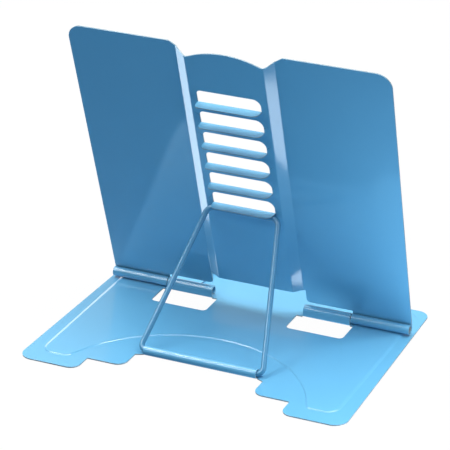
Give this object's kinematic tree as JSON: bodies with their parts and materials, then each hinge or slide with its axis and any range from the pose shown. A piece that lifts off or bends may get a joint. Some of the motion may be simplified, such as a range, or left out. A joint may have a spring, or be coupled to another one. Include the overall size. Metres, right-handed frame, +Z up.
{
  "type": "folding book stand",
  "caption": "Folding sheet steel book stand: flat base with a front ledge, hinged back plate with a slotted band, wire prop and sprung page clips.",
  "frame": {"origin": "on the floor at the centre of the base's footprint", "axes": "+Z up, +Y towards the back where the prop stands, +X to the reader's right seen from the reader's side at -Y"},
  "size_m": [0.2104, 0.1556, 0.1896],
  "materials": {
    "blue_paint": "satin gloss sky-blue enamel on sheet steel and wire",
    "pin_steel": "bright plated steel, drawn",
    "coil_steel": "bare spring wire"
  },
  "bodies": {
    "base": {"base_plate": "blue_paint", "left_hinge_pin": "pin_steel", "right_hinge_pin": "pin_steel", "left_clip_pin": "pin_steel", "right_clip_pin": "pin_steel"},
    "back": {"back_plate": "blue_paint"},
    "prop": {"prop_wire": "blue_paint"},
    "left_clip": {"left_page_clip": "blue_paint", "left_clip_spring": "coil_steel"},
    "right_clip": {"right_page_clip": "blue_paint", "right_clip_spring": "coil_steel"}
  },
  "joints": [
    {"name": "plate_hinge", "type": "hinge", "parent": "base", "child": "back", "pos_m": [0, -0.0436, 0.0048], "axis": [1, 0, 0], "range_deg": [0, 57]},
    {"name": "prop_hinge", "type": "hinge", "parent": "base", "child": "prop", "pos_m": [0, 0.0431, 0.003], "axis": [1, 0, 0], "range_deg": [0, 39]},
    {"name": "left_clip_hinge", "type": "hinge", "parent": "base", "child": "left_clip", "pos_m": [-0.062, -0.07545, 0.00345], "axis": [1, 0, 0], "range_deg": [0, 110], "stiffness_Nm_per_rad": 0.02, "springref_deg": -28.65},
    {"name": "right_clip_hinge", "type": "hinge", "parent": "base", "child": "right_clip", "pos_m": [0.062, -0.07545, 0.00345], "axis": [1, 0, 0], "range_deg": [0, 110], "stiffness_Nm_per_rad": 0.02, "springref_deg": -28.65}
  ],
  "couplings": [
    {"joint": "prop_hinge", "follows": "plate_hinge", "ratio": 0.68}
  ]
}
